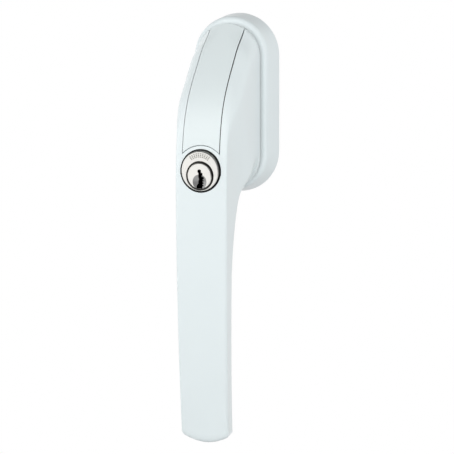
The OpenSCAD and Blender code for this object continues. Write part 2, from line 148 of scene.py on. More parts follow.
# The cone that leads the key in
CONE_X = 0.1
CONE_DROP = 2.4
CONE_R = 3.0
CONE_DEEP = 1.3
CONE_RINGS_D = 44.0        # depth about which the cone's drilled rings are centred
# Rows of dimples above the plug, by their radius from the lock's axis
DIMPLE_ROWS = (5.75, 6.4, 7.05)
DIMPLES = 10
DIMPLE_SPREAD = 72
DIMPLE_R = 0.3
DIMPLE_DEEP = 0.35

SPINDLE_HALF = spindle_high[0]
SPINDLE_FRONT = -spindle_low[1]
SPINDLE_BACK = -spindle_high[1]
SPINDLE_EDGE_R = 0.35
SPINDLE_BEVEL = 0.8
PIN_R = 1.5
PIN_D = 24.0
SCREW_R = 2.5
SCREW_BACK = -screw_high[1]
SCREW_SHANK_END = -4.2
SHANK_R = SCREW_R - 0.3
HEAD_R = 4.6
HEAD_SEAT = 5.0
HEAD_FACE = -screw_low[1]
THREAD_PITCH = 0.8
THREAD_DEEP = 0.42
THREAD_STEPS = 40
THREAD_ROWS = 8            # rows of points in one pitch

PANEL_TOP = 36.0
PANEL_HALF_TOP = 7.5
PANEL_HALF_BOTTOM = 7.9
PANEL_ARC_R = 11.3
PANEL_ARC_Z = LOCK_Z - 1.0
PANEL_GAP = 0.28
PANEL_THICK = 1.3
PANEL_EDGE_R = 0.18
PANEL_RAISE = 0.18
PANEL_START = 13.1
PANEL_COLUMNS = 32
PANEL_ROWS = 90
PANEL_FLUSH_ROWS = 24      # rows over which the strip rises from its flush top end
SEAT_BACK = NECK_BACK + 0.9
SEAT_TOP_DEEP = 3.2        # depth of the panel's seat at its top end, and further down
SEAT_DEEP = 1.5
COVER_CUT_END = 14.0       # in front of the rosette
COLLAR_CUT_END = 20.0      # in front of the collar
BEYOND = 60.0              # in front of the whole handle


# ---------- Small helpers ----------

def mix(a, b, t):
    return a + (b - a) * t


def ease(t):
    c = min(max(t, 0.0), 1.0)
    return c * c * (3 - 2 * c)


def point(x, depth, z):
    return (x * MM, -depth * MM, z * MM)


def new_object(name, vertices, faces):
    """A mesh object from points in millimetres (x, depth, z)."""
    mesh = bpy.data.meshes.new(name)
    mesh.from_pydata([point(*v) for v in vertices], [], faces)
    mesh.update()
    piece = bpy.data.objects.new(name, mesh)
    bpy.context.scene.collection.objects.link(piece)
    return piece


def outward(piece):
    """Turns every face of a closed mesh outwards."""
    work = bmesh.new()
    work.from_mesh(piece.data)
    bmesh.ops.recalc_face_normals(work, faces=work.faces)
    work.to_mesh(piece.data)
    work.free()
    return piece


def loft(name, rings):
    """A closed skin over rings that all have the same number of points (x, depth, z)."""
    rings = [np.asarray(r, float) for r in rings]
    count = len(rings[0])
    vertices = np.concatenate(rings)
    faces = []
    for j in range(len(rings) - 1):
        for i in range(count):
            a = j * count + i
            b = j * count + (i + 1) % count
            faces.append((a, b, b + count, a + count))
    faces.append(tuple(range(count - 1, -1, -1)))
    last = (len(rings) - 1) * count
    faces.append(tuple(range(last, last + count)))
    return outward(new_object(name, vertices, faces))


def bake_modifiers(piece):
    """Replaces the piece's mesh by the result of its modifiers."""
    graph = bpy.context.evaluated_depsgraph_get()
    done = bpy.data.meshes.new_from_object(piece.evaluated_get(graph))
    piece.modifiers.clear()
    old = piece.data
    piece.data = done
    bpy.data.meshes.remove(old)


def clean(piece):
    """Merges points that a cut left on top of each other, and drops faces that have no area."""
    work = bmesh.new()
    work.from_mesh(piece.data)
    bmesh.ops.remove_doubles(work, verts=work.verts, dist=SAME_POINT * MM)
    bmesh.ops.dissolve_degenerate(work, edges=work.edges, dist=SAME_POINT * MM)
    work.to_mesh(piece.data)
    work.free()


def cut(piece, *cutters, operation="DIFFERENCE"):
    """Cuts the piece by closed meshes, which are then removed."""
    for cutter in cutters:
        step = piece.modifiers.new("cut", "BOOLEAN")
        step.operation = operation
        step.solver = "EXACT"
        step.object = cutter
    bake_modifiers(piece)
    for cutter in cutters:
        bpy.data.objects.remove(cutter, do_unlink=True)
    clean(piece)


def smooth(piece, angle=35):
    """Smooth shading with hard edges where faces meet at more than angle."""
    for face in piece.data.polygons:
        face.use_smooth = True
    piece.data.set_sharp_from_angle(angle=math.radians(angle))
    return piece


def circle(radius, steps):
    """Points (u, v) round a circle."""
    angles = [2 * math.pi * i / steps for i in range(steps)]
    return [(radius * math.cos(a), radius * math.sin(a)) for a in angles]


def turned(name, profile, x=0.0, z=0.0, steps=96):
    """A solid turned about an axis along Y. The profile is (radius, depth)."""
    rings = [[(x + u, depth, z + v) for u, v in circle(radius, steps)] for radius, depth in profile]
    return loft(name, rings)


def arc(cx, cy, r, start, end, steps):
    """Points on an arc, in degrees."""
    out = []
    for i in range(steps + 1):
        a = math.radians(mix(start, end, i / steps))
        out.append((cx + r * math.cos(a), cy + r * math.sin(a)))
    return out


def prism(name, outline, near, far, z=0.0):
    """A front view outline (x, z) as a solid from depth near to depth far, moved up by z."""
    return loft(name, [[(px, d, pz + z) for px, pz in outline] for d in (near, far)])


def block(name, x1, x2, d1, d2, z1, z2):
    """A box by its limits in x, depth and z."""
    return prism(name, [(x1, z1), (x2, z1), (x2, z2), (x1, z2)], d1, d2)


def upright_rod(name, radius, z1, z2, depth, steps=32):
    """A rod along Z."""
    return loft(name, [[(u, depth + v, z) for u, v in circle(radius, steps)] for z in (z1, z2)])


def join(name, pieces):
    """Joins the pieces into one object."""
    work = bmesh.new()
    for piece in pieces:
        work.from_mesh(piece.data)
        bpy.data.objects.remove(piece, do_unlink=True)
    mesh = bpy.data.meshes.new(name)
    work.to_mesh(mesh)
    work.free()
    joined = bpy.data.objects.new(name, mesh)
    bpy.context.scene.collection.objects.link(joined)
    return joined


def coil(name, centre, axis, radius, wire_r, length, turns, steps=20, sides=8):
    """A coil spring that starts at centre and runs along axis. All in (x, depth, z)."""
    axis = Vector(axis).normalized()
    side = axis.orthogonal().normalized()
    other = axis.cross(side)
    count = round(turns * steps)
    rings = []
    for i in range(count + 1):
        a = 2 * math.pi * i / steps
        outward_way = side * math.cos(a) + other * math.sin(a)
        along = axis * mix(wire_r, length - wire_r, i / count)
        at = Vector(centre) + along + outward_way * (radius - wire_r)
        ring = []
        for k in range(sides):
            b = 2 * math.pi * k / sides
            ring.append(tuple(at + (outward_way * math.cos(b) + axis * math.sin(b)) * wire_r))
        rings.append(ring)
    return loft(name, rings)


def second_finish(piece, material, chosen):
    """Gives a further material to the faces for which chosen(centre, normal) holds. The centre is
    (x, depth, z) in millimetres."""
    piece.data.materials.append(material)
    for face in piece.data.polygons:
        x, y, z = face.center / MM
        if chosen((x, -y, z), face.normal):
            face.material_index = len(piece.data.materials) - 1


def finish(piece, body, slot, *nodes):
    """Rides the piece on its body, gives it its slot's material and lets it stand for its CAD nodes."""
    piece.data.materials.clear()
    piece.data.materials.append(LOOKS[slot])
    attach(piece, body)
    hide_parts(*nodes)


# ---------- Shape of the handle ----------

# Side view curves (depth, z): the neck's front, and its underside
FRONT_CURVE = np.array([[NECK_START, NECK_TOP], [45.5, -2.8],
                        [GRIP_FRONT - 0.2, 2], [GRIP_FRONT, GRIP_TOP]])
UNDER_CURVE = np.array([[NECK_START, NECK_BOTTOM], [15, NECK_BOTTOM],
                        [29, -26.5], [UNDER_FRONT, UNDER_TOP]])


def bezier(p, t):
    s = 1 - t
    return s ** 3 * p[0] + 3 * s ** 2 * t * p[1] + 3 * s * t * t * p[2] + t ** 3 * p[3]


def bezier_normal(p, t):
    """The direction square to the curve, towards the room."""
    slope = (1 - t) ** 2 * (p[1] - p[0]) + 2 * (1 - t) * t * (p[2] - p[1]) + t * t * (p[3] - p[2])
    normal = np.array([-slope[1], slope[0]])
    return normal / np.linalg.norm(normal)


def below(z, top):
    """Rises from 0 at the height top to 1 at the tip."""
    return max((z - top) / (TIP_Z - top), 0) ** 2.2


def grip_front_at(z):
    return GRIP_FRONT - 2.1 * below(z, GRIP_TOP)


def grip_back_at(z):
    return UNDER_FRONT - 2.5 * below(z, UNDER_TOP)


class Section:
    """One cross-section of the handle, between a front point and a back point (depth, z)."""

    def __init__(self, front, back, half_w, front_r, back_r, inset=0.0, crown=0.0, bow=0.0):
        self.front = np.array(front, float)
        self.back = np.array(back, float)
        self.half_w = half_w
        self.back_w = half_w - inset
        self.front_r = min(front_r, half_w - 0.05)
        self.back_r = min(back_r, self.back_w - 0.05)
        self.crown = crown
        self.bow = bow
        along = self.front - self.back
        self.length = np.linalg.norm(along)
        self.along = along / self.length

    def place(self, x, v):
        """The point (x, depth, z) at distance v from the back."""
        out = (x / self.half_w) ** 2
        depth, z = self.back + self.along * v * (1 - self.crown * out / self.length)
        return (x, depth, z + self.bow * out)

    def front_at(self, x):
        """The point on the front at distance x from the middle."""
        beyond = max(abs(x) - (self.half_w - self.front_r), 0)
        drop = self.front_r - math.sqrt(max(self.front_r ** 2 - beyond ** 2, 0))
        return self.place(x, self.length - drop)


def wall_section(depth):
    """The straight wall of the neck above the collar."""
    return Section((depth, NECK_TOP), (depth, NECK_BOTTOM), NECK_HALF_W, NECK_HALF_W, NECK_HALF_W)


def neck_section(t):
    """The sections of the arched neck, from t = 0 at its straight wall to t = 1 at the grip."""
    front_r = mix(mix(NECK_HALF_W, SHOULDER_R, ease(t / 0.12)), EDGE_R, ease((t - 0.17) / 0.48))
    return Section(bezier(FRONT_CURVE, t), bezier(UNDER_CURVE, t),
                   mix(NECK_HALF_W, GRIP_HALF_W, ease((t - 0.28) / 0.38)), front_r,
                   mix(NECK_HALF_W, BACK_R, ease(t / 0.55)),
                   BACK_INSET * ease((t - 0.1) / 0.9), CROWN * ease((t - 0.6) / 0.4))


def grip_section(t):
    """The sections of the straight grip, from t = 0 below the neck to t = 1 above the tip."""
    zf = mix(GRIP_TOP, TIP_Z + TIP_ROUND, t)
    zb = mix(UNDER_TOP, TIP_Z + TIP_ROUND, t)
    return Section((grip_front_at(zf), zf), (grip_back_at(zb), zb), GRIP_HALF_W - GRIP_TAPER * t,
                   EDGE_R, BACK_R, BACK_INSET, CROWN, TIP_BOW * ease((t - 0.5) / 0.5))


def tip_section(angle):
    """The rounded end: the last section, shrunk through an angle from 0 to a right angle."""
    e = TIP_ROUND * (1 - math.cos(angle))
    z = TIP_Z + TIP_ROUND * (1 - math.sin(angle))
    return Section((grip_front_at(TIP_Z) - e, z), (grip_back_at(TIP_Z) + e, z),
                   GRIP_HALF_W - GRIP_TAPER - e, max(EDGE_R - e / 2, 0.4), BACK_R - e,
                   BACK_INSET, CROWN, TIP_BOW)


CORNER_STEPS = 14
FLAT_STEPS = 22
SIDE_STEPS = 18


def section_ring(section):
    """Points round one section (x, depth, z)."""
    wf, wb, rf, rb = section.half_w, section.back_w, section.front_r, section.back_r
    length = section.length
    corners = [arc(wf - rf, length - rf, rf, 0, 90, CORNER_STEPS),
               arc(rf - wf, length - rf, rf, 90, 180, CORNER_STEPS),
               arc(rb - wb, rb, rb, 180, 270, CORNER_STEPS),
               arc(wb - rb, rb, rb, 270, 360, CORNER_STEPS)]
    outline = []
    for k, steps in enumerate((FLAT_STEPS, SIDE_STEPS, FLAT_STEPS, SIDE_STEPS)):
        outline += corners[k]
        start, end = corners[k][-1], corners[(k + 1) % 4][0]
        for i in range(1, steps):
            outline.append((mix(start[0], end[0], i / steps), mix(start[1], end[1], i / steps)))
    return [section.place(x, v) for x, v in outline]


def handle_skin(name):
    sections = [wall_section(d) for d in np.linspace(NECK_BACK, NECK_START, 4)[:-1]]
    sections += [neck_section(t) for t in np.linspace(0, 1, 91) ** 1.15]
    sections += [grip_section(t) for t in np.linspace(0, 1, 49)[1:]]
    sections += [tip_section(a) for a in np.linspace(0, math.pi / 2, 9)[1:]]
    return loft(name, [section_ring(s) for s in sections])


def panel_prism(name, grow, near, far):
    """The panel's front view outline as a prism from depth near to depth far."""
    low_half = math.degrees(math.asin((PANEL_HALF_BOTTOM + grow) / (PANEL_ARC_R - grow)))
    outline = [(-PANEL_HALF_TOP - grow, PANEL_TOP), (PANEL_HALF_TOP + grow, PANEL_TOP)]
    outline += arc(0, PANEL_ARC_Z, PANEL_ARC_R - grow, 90 - low_half, 90 + low_half, 24)
    return prism(name, outline, near, far)


def before_seat(name, half_w):
    """Everything in front of the panel's seat, which follows the neck's front a little below it."""
    outline = [(SEAT_BACK, NECK_TOP - 2.5)]
    for t in np.linspace(0, 0.8, 60):
        deep = mix(SEAT_TOP_DEEP, SEAT_DEEP, ease(t / 0.3))
        depth, z = bezier(FRONT_CURVE, t) - bezier_normal(FRONT_CURVE, t) * deep
        if depth > SEAT_BACK + 0.3:
            outline.append((depth, z))
    outline += [(BEYOND, LOCK_Z + 5), (BEYOND, 40), (SEAT_BACK, 40)]
    return loft(name, [[(x, d, z) for d, z in outline] for x in (-half_w, half_w)])


# ---------- Materials ----------

class Nodes:
    """A short way to write a node tree."""

    def __init__(self, name):
        self.material = bpy.data.materials.new(name)
        self.material.use_nodes = True
        self.tree = self.material.node_tree
        self.shader = self.tree.nodes["Principled BSDF"]

    def add(self, kind, **inputs):
        node = self.tree.nodes.new(kind)
        for key, value in inputs.items():
            name = key.replace("_", " ")
            if name in node.inputs:
                node.inputs[name].default_value = value
            else:
                setattr(node, key, value)
        return node

    def link(self, a, b):
        self.tree.links.new(a, b)

    def set(self, **values):
        for key, value in values.items():
            self.shader.inputs[key.replace("_", " ")].default_value = value

    def place(self, scale=1.0, centre=(0, 0, 0)):
        """Object coordinates in metres, moved so that centre is the origin, then scaled."""
        coordinates = self.add("ShaderNodeTexCoord")
        mapping = self.add("ShaderNodeMapping")
        mapping.inputs["Scale"].default_value = (scale, scale, scale)
        mapping.inputs["Location"].default_value = tuple(-scale * c for c in centre)
        self.link(coordinates.outputs["Object"], mapping.inputs["Vector"])
        return mapping.outputs["Vector"]

    def noise(self, scale, detail=3.0, roughness=0.55, vector=None):
        node = self.add("ShaderNodeTexNoise", Scale=scale, Detail=detail, Roughness=roughness)
        self.link(vector or self.place(), node.inputs["Vector"])
        return node.outputs["Fac"]

    def blend(self, value, low, high):
        """Mixes two colours by a value from 0 to 1."""
        node = self.add("ShaderNodeMix")
        node.data_type = "RGBA"
        node.inputs["A"].default_value = low
        node.inputs["B"].default_value = high
        self.link(value, node.inputs["Factor"])
        return node.outputs["Result"]

    def range(self, value, low, high):
        """Maps a value from 0 to 1 onto low to high."""
        node = self.add("ShaderNodeMapRange")
        node.inputs["To Min"].default_value = low
        node.inputs["To Max"].default_value = high
        self.link(value, node.inputs["Value"])
        return node.outputs["Result"]

    def bump(self, height, strength, distance, previous=None):
        node = self.add("ShaderNodeBump", Strength=strength, Distance=distance)
        self.link(height, node.inputs["Height"])
        if previous is not None:
            self.link(previous, node.inputs["Normal"])
        return node.outputs["Normal"]


def powder_coat(name, colour, rough=0.34, grain=1.0):
    """Satin powder coat: a faint orange peel and a little unevenness in tone and gloss."""
    n = Nodes(name)
    tone = n.noise(60, detail=2)
    light = (*[min(c * 1.012, 1) for c in colour], 1)
    dark = (*[c * 0.985 for c in colour], 1)
    n.link(n.blend(tone, dark, light), n.shader.inputs["Base Color"])
    peel = n.noise(1400, detail=2, roughness=0.5)
    n.link(n.range(n.noise(240), rough - 0.03, rough + 0.05), n.shader.inputs["Roughness"])
    n.link(n.bump(peel, 0.12 * grain, 0.00004), n.shader.inputs["Normal"])
    n.set(Specular_IOR_Level=0.5, Coat_Weight=0.25, Coat_Roughness=0.18)
    return n.material


def turned_metal(name, colour, centre, pitch, rough):
    """Plated metal faced on a lathe: fine rings about the piece's own axis."""
    n = Nodes(name)
    place = n.place(1.0, centre)
    rings = n.add("ShaderNodeTexWave")
    rings.wave_type = "RINGS"
    rings.rings_direction = "Y"
    rings.inputs["Scale"].default_value = 1 / pitch
    rings.inputs["Distortion"].default_value = 0.4
    n.link(place, rings.inputs["Vector"])
    cloud = n.noise(900, detail=4)
    dark = (*[c * 0.93 for c in colour], 1)
    n.link(n.blend(cloud, dark, (*colour, 1)), n.shader.inputs["Base Color"])
    n.link(n.range(cloud, rough - 0.04, rough + 0.07), n.shader.inputs["Roughness"])
    grain = n.bump(rings.outputs["Fac"], 0.25, 0.000008)
    n.link(n.bump(cloud, 0.1, 0.00001, grain), n.shader.inputs["Normal"])
    n.set(Metallic=1.0)
    return n.material


def bare_metal(name, colour, rough, grain_scale=1500, grain=0.1, tint=None):
    """Cast, drawn or plated metal with a fine grain and faint stains."""
    n = Nodes(name)
    stain = n.noise(350, detail=5, roughness=0.6)
    other = tint or tuple(c * 0.82 for c in colour)
    n.link(n.blend(stain, (*other, 1), (*colour, 1)), n.shader.inputs["Base Color"])
    n.link(n.range(stain, rough - 0.06, rough + 0.08), n.shader.inputs["Roughness"])
    n.link(n.bump(n.noise(grain_scale, detail=3), grain, 0.00003), n.shader.inputs["Normal"])
    n.set(Metallic=1.0)
    return n.material


def plastic(name, colour, rough, grain_scale=2200, grain=0.1, soft=0.0):
    """Moulded plastic or foam with a fine texture."""
    n = Nodes(name)
    cloud = n.noise(200, detail=3)
    dark = (*[c * 0.94 for c in colour], 1)
    n.link(n.blend(cloud, dark, (*colour, 1)), n.shader.inputs["Base Color"])
    n.link(n.range(cloud, rough - 0.04, rough + 0.05), n.shader.inputs["Roughness"])
    n.link(n.bump(n.noise(grain_scale, detail=2), grain, 0.00004), n.shader.inputs["Normal"])
    if soft:
        n.set(Subsurface_Weight=soft, Subsurface_Scale=0.001)
    return n.material


lock_centre = point(0, LOCK_FACE, LOCK_Z)
plug_centre = point(0, PLUG_FACE, PLUG_Z)
cone_centre = point(CONE_X, CONE_RINGS_D, PLUG_Z - CONE_DROP)
LOOKS = {
    "painted_body": powder_coat("white_powder_coat", (0.76, 0.825, 0.834)),
    "painted_cover": powder_coat("white_powder_coat_cover", (0.745, 0.81, 0.822)),
    "painted_panel": powder_coat("white_powder_coat_panel", (0.745, 0.81, 0.815), 0.3, 0.6),
    "white_plastic": plastic("white_nylon", (0.75, 0.80, 0.805), 0.42),
    "nickel": turned_metal("nickel_plate", (0.74, 0.73, 0.70), lock_centre, 0.0009, 0.38),
    "plug_nickel": turned_metal("nickel_plate_plug", (0.755, 0.745, 0.71), plug_centre, 0.0007, 0.36),
    "steel": bare_metal("zinc_plated_steel", (0.62, 0.63, 0.64), 0.32, tint=(0.60, 0.58, 0.50)),
    "hard_steel": bare_metal("bare_steel", (0.50, 0.50, 0.51), 0.28),
    "zinc": bare_metal("cast_zinc", (0.55, 0.56, 0.57), 0.5, 900, 0.35),
    "nylon": plastic("natural_nylon", (0.80, 0.77, 0.68), 0.45, soft=0.3),
    "pin_brass": bare_metal("turned_brass", (0.78, 0.60, 0.28), 0.26),
    "gasket_foam": plastic("sealing_foam", (0.10, 0.10, 0.105), 0.85, 3000, 0.6),
}
# Further finishes for faces inside gaps and bores: near-black or darker colours that paint the shade there
# Near-black painted shade for the walls and floor of the lock's seat
SEAT_PAINTED_SHADE = bare_metal("seat_painted_shade", (0.06, 0.06, 0.062), 0.55, 900, 0.3)
# Near-black painted shade for the panel's seams and the collar's groove
GAP_PAINTED_SHADE = plastic("gap_painted_shade", (0.05, 0.052, 0.055), 0.6)
# Near-black painted shade for the lock's groove, bore, keyway and chambers
LOCK_SHADOW = bare_metal("lock_painted_shade", (0.09, 0.085, 0.08), 0.45)
# The drilled cone keeps its turned rings, but its colour is darkened as painted shade
DRILLED_CONE_PAINTED_SHADE = turned_metal("drilled_cone_painted_shade", (0.36, 0.36, 0.355), cone_centre, 0.0004, 0.4)

for part in frame["record"]["subparts"]:
    piece = frame["nodes"][part["node"]]
    piece.data.materials.clear()
    piece.data.materials.append(LOOKS[part["material_slot"]])
    smooth(piece, 30)


# ---------- Rosette and collar ----------

def stadium_ring(half_w, half_h, inset, depth, middle=0.0):
    """An upright stadium (x, depth, z) about the height middle, drawn in from its outline by inset."""
    steps = 48
    rows = 16
    straight = half_h - half_w
    radius = half_w - inset
    outline = arc(0, middle + straight, radius, 0, 180, steps)
    for i in range(1, rows):
        outline.append((-radius, middle + mix(straight, -straight, i / rows)))
    outline += arc(0, middle - straight, radius, 180, 360, steps)
    for i in range(1, rows):
        outline.append((radius, middle + mix(-straight, straight, i / rows)))
    return [(x, depth, z) for x, z in outline]


def build_cover():
    side_top = ROSETTE_D - RIM_R
    outer = [(RIM_DRAFT * i / 8, side_top * i / 8) for i in range(9)]
    outer += [(RIM_DRAFT + RIM_R - x, y) for x, y in arc(0, side_top, RIM_R, 0, 90, 12)[1:]]
    rings = [stadium_ring(ROSETTE_HALF_W, ROSETTE_HALF_H, inset, d) for inset, d in outer]
    cover = loft("rosette_cover_shell", rings)
    inside = [(COVER_WALL, -1.0), (COVER_WALL + RIM_DRAFT, ROSETTE_D - COVER_WALL - 0.1)]
    hollow = loft("hollow", [stadium_ring(ROSETTE_HALF_W, ROSETTE_HALF_H, i, d) for i, d in inside])
    bore = turned("bore", [(COVER_BORE_R, 1), (COVER_BORE_R, COVER_CUT_END)])
    pockets = [turned("pocket", [(SCREW_POCKET_R, 1), (SCREW_POCKET_R, COVER_CUT_END)], z=z)
               for z in (-SCREW_Z, SCREW_Z)]
    cut(cover, hollow, bore, *pockets)
    finish(smooth(cover), "rosette", "painted_cover", "rosette_cover")


def build_collar():
    half_w = collar_high[0]
    half_h = (collar_high[2] - collar_low[2]) / 2
    middle = (collar_high[2] + collar_low[2]) / 2
    back = -collar_high[1]
    step = back + COLLAR_GROOVE
    edge_start = -collar_low[1] - COLLAR_EDGE_R
    outline = [(COLLAR_STEP, back), (COLLAR_STEP, step), (0, step), (0, edge_start)]
    outline += [(COLLAR_EDGE_R - x, y) for x, y in arc(0, edge_start, COLLAR_EDGE_R, 0, 90, 4)[1:]]
    rings = [stadium_ring(half_w, half_h, inset, d, middle=middle) for inset, d in outline]
    collar = loft("collar_ring", rings)
    cut(collar, turned("bore", [(CAVITY_R, 5), (CAVITY_R, COLLAR_CUT_END)]))
    finish(smooth(collar), "handle", "white_plastic", "base_collar")
    # The shadow groove against the rosette is painted near-black as shade
    second_finish(collar, GAP_PAINTED_SHADE, lambda at, way: at[1] < step + 0.01)


# ---------- Handle and panel ----------

def build_handle():
    shell = handle_skin("handle_shell")
    recess = panel_prism("recess", PANEL_GAP, NECK_BACK - 0.5, BEYOND)
    cut(recess, before_seat("seat", 2 * NECK_HALF_W), operation="INTERSECT")
    cavity = turned("cavity", [(CAVITY_R, NECK_BACK - 3), (CAVITY_R, CAVITY_FRONT),
                               (HUB_R, CAVITY_FRONT), (HUB_R, HUB_FRONT)])
    seat_r = LOCK_R + FIT_GAP
    mouth_r = LOCK_R + MOUTH_GAP
    seat = turned("lock_seat", [(seat_r, LOCK_BACK), (seat_r, MOUTH_FLOOR),
                                (mouth_r, MOUTH_FLOOR), (mouth_r, BEYOND)], z=LOCK_Z)
    cam_bore = turned("cam_bore", [(CAM_BORE_R, CAM_BORE_BACK), (CAM_BORE_R, LOCK_BACK + 1)], z=PLUG_Z)
    grub_hole = upright_rod("grub_hole", GRUB_R, GRUB_HOLE_LOW, LOCK_Z - LOCK_R + 1, GRUB_D)
    bolt_front = BOLT_CHANNEL_GAP - limits("locking_bolt")[0][1]
    cover_low, cover_high = limits("bolt_cover")
    channel = block("channel", cover_low[0], cover_high[0], NECK_BACK - 1, bolt_front,
                    cover_low[2], BOLT_CHANNEL_TOP)
    shank = block("shank_channel", -BOLT_SHANK_HALF, BOLT_SHANK_HALF, NECK_BACK - 1, bolt_front - 0.01,
                  BOLT_CHANNEL_TOP - 3, 1 - CAVITY_R)
    cut(shell, recess, cavity, seat, cam_bore, grub_hole, channel, shank)
    finish(smooth(shell, 40), "handle", "painted_body", "handle_body")
    # The seat of the lock is near-black as painted shade in its deep gap
    second_finish(shell, SEAT_PAINTED_SHADE, lambda at, way: at[1] > LOCK_BACK - 0.1
                  and math.hypot(at[0], at[2] - LOCK_Z) < mouth_r + 0.02)


def panel_end(x):
    """The section on which the panel's lower edge, an arc round the lock, lies at x."""
    goal = PANEL_ARC_Z + math.sqrt(PANEL_ARC_R ** 2 - x ** 2)
    low, high = 0.4, 0.95
    for _ in range(40):
        t = (low + high) / 2
        if neck_section(t).front_at(x)[2] > goal:
            low = t
        else:
            high = t
    return low


def build_panel():
    """The inlaid strip: rows down the straight wall, then down the neck to an arc round the lock."""
    rows = [("wall", d) for d in np.linspace(PANEL_START, NECK_START, 5)[:-1]]
    rows += [("neck", share) for share in np.linspace(0, 1, PANEL_ROWS + 1) ** 1.15]
    ends = {}
    grid = []
    for i, (kind, at) in enumerate(rows):
        share_down = at if kind == "neck" else 0
        rise = PANEL_RAISE * ease(i / PANEL_FLUSH_ROWS)
        half = mix(PANEL_HALF_TOP, PANEL_HALF_BOTTOM, share_down)
        row = []
        for j in range(PANEL_COLUMNS + 1):
            x = (2 * j / PANEL_COLUMNS - 1) * half
            if kind == "wall":
                _, depth, z = wall_section(at).front_at(x)
                lift = np.array([0, rise])
            else:
                end = ends.setdefault(round(x, 6), panel_end(x))
                _, depth, z = neck_section(end * at).front_at(x)
                lift = bezier_normal(FRONT_CURVE, end * at) * rise
            row.append((x, depth + lift[0], z + lift[1]))
        grid.append(row)
    width = PANEL_COLUMNS + 1
    vertices = [v for row in grid for v in row]
    faces = []
    for i in range(len(grid) - 1):
        for j in range(PANEL_COLUMNS):
            a = i * width + j
            faces.append((a, a + 1, a + 1 + width, a + width))
    panel = new_object("panel_strip", vertices, faces)
    if panel.data.polygons[-1].normal.y > 0:
        panel.data.flip_normals()
    thick = panel.modifiers.new("thick", "SOLIDIFY")
    thick.thickness = PANEL_THICK * MM
    thick.offset = -1
    round_edges = panel.modifiers.new("round", "BEVEL")
    round_edges.width = PANEL_EDGE_R * MM
    round_edges.segments = 3
    round_edges.limit_method = "ANGLE"
    round_edges.angle_limit = math.radians(50)
    bake_modifiers(panel)
    finish(smooth(panel), "handle", "painted_panel", "front_panel")
    # Only the strip's face is painted white; its sides and back are near-black as painted shade in the
    # seams
    second_finish(panel, GAP_PAINTED_SHADE, lambda at, way: abs(way.x) > 0.9 or way.y > 0.3)


# ---------- Lock ----------

def chamber_bores(z1, z2):
    return [upright_rod("chamber", CHAMBER_R, z1, z2, d) for d in CHAMBERS]


def build_lock_body():
    shoulder = LOCK_R - WALL_LEAN
    profile = [(LOCK_R - 0.3, LOCK_BACK), (LOCK_R, LOCK_BACK + 0.3), (LOCK_R, LOCK_FACE - 1.5),
               (shoulder, LOCK_FACE - LOCK_CHAMFER), (shoulder - LOCK_CHAMFER, LOCK_FACE)]
    body = turned("lock_body_turned", profile, z=LOCK_Z, steps=144)
    bore_r = PLUG_R + FIT_GAP
    groove_r = PLUG_R + PLUG_GROOVE
    groove_floor = LOCK_FACE - PLUG_GROOVE_DEEP
    bore = turned("plug_bore", [(bore_r, LOCK_BACK - 1), (bore_r, groove_floor), (groove_r, groove_floor),
                                (groove_r, LOCK_FACE - 0.1), (groove_r + 0.25, LOCK_FACE + 0.15)],
                  z=PLUG_Z, steps=144)
    top = LOCK_Z + LOCK_R
    slot = block("strip_slot", -STRIP_HALF_W, STRIP_HALF_W, CHAMBERS[0] - 2, CHAMBERS[-1] + 2,
                 top - STRIP_DEEP, top + 1)
    dimples = []
    for row in DIMPLE_ROWS:
        for i in range(DIMPLES):
            a = math.radians(90 + mix(-DIMPLE_SPREAD / 2, DIMPLE_SPREAD / 2, i / (DIMPLES - 1)))
            dimples.append(turned("dimple", [(0.02, LOCK_FACE - DIMPLE_DEEP), (DIMPLE_R, LOCK_FACE),
                                             (DIMPLE_R + 0.1, LOCK_FACE + 0.1)],
                                  x=row * math.cos(a), z=LOCK_Z + row * math.sin(a), steps=12))
    cut(body, bore, slot, *chamber_bores(PLUG_Z + 3, top + 1), *dimples)
    finish(smooth(body, 25), "handle", "nickel", "lock_body")
    # The groove and the bore for the plug are near-black as painted shade
    second_finish(body, LOCK_SHADOW, lambda at, way: at[1] < LOCK_FACE - 0.12
                  and math.hypot(at[0], at[2] - PLUG_Z) < groove_r + 0.02)


def build_plug():
    shoulder = PLUG_R - WALL_LEAN
    profile = [(TAIL_R, TAIL_BACK), (TAIL_R, PLUG_BACK), (PLUG_R, PLUG_BACK), (PLUG_R, PLUG_FACE - 1.5),
               (shoulder, PLUG_FACE - PLUG_CHAMFER), (shoulder - PLUG_CHAMFER, PLUG_FACE)]
    plug = turned("lock_plug_turned", profile, z=PLUG_Z, steps=120)
    keyway = prism("keyway", KEYWAY, KEYWAY_BACK, BEYOND, z=PLUG_Z)
    eye = turned("keyway_eye", [(KEYWAY_EYE_R, KEYWAY_BACK), (KEYWAY_EYE_R, BEYOND)],
                 z=PLUG_Z + KEYWAY_EYE_Z, steps=24)
    cone = turned("key_cone", [(0.4, PLUG_FACE - CONE_DEEP), (0.9, PLUG_FACE - CONE_DEEP + 0.1),
                               (CONE_R, PLUG_FACE), (CONE_R + 0.3, PLUG_FACE + 0.15)],
                  x=CONE_X, z=PLUG_Z - CONE_DROP, steps=72)
    cut(plug, cone, eye, keyway, *chamber_bores(PLUG_Z + 1.5, PLUG_Z + PLUG_R + 1))
    finish(smooth(plug, 25), "plug", "nickel", "lock_plug")
    plug.data.materials[0] = LOOKS["plug_nickel"]
    # The broached walls of the keyway and the chambers are near-black as painted shade, and the drilled
    # cone is darkened as painted shade
    second_finish(plug, LOCK_SHADOW, lambda at, way: abs(way.y) < 0.1
                  and math.hypot(at[0], at[2] - PLUG_Z) < PLUG_R - 0.25 and at[1] > PLUG_BACK + 0.1)
    second_finish(plug, DRILLED_CONE_PAINTED_SHADE, lambda at, way: 0.1 < abs(way.y) < 0.98
                  and math.hypot(at[0] - CONE_X, at[2] - PLUG_Z + CONE_DROP) < CONE_R + 0.1
                  and at[1] < PLUG_FACE - 0.02)


# ---------- Springs, spindle and screws ----------

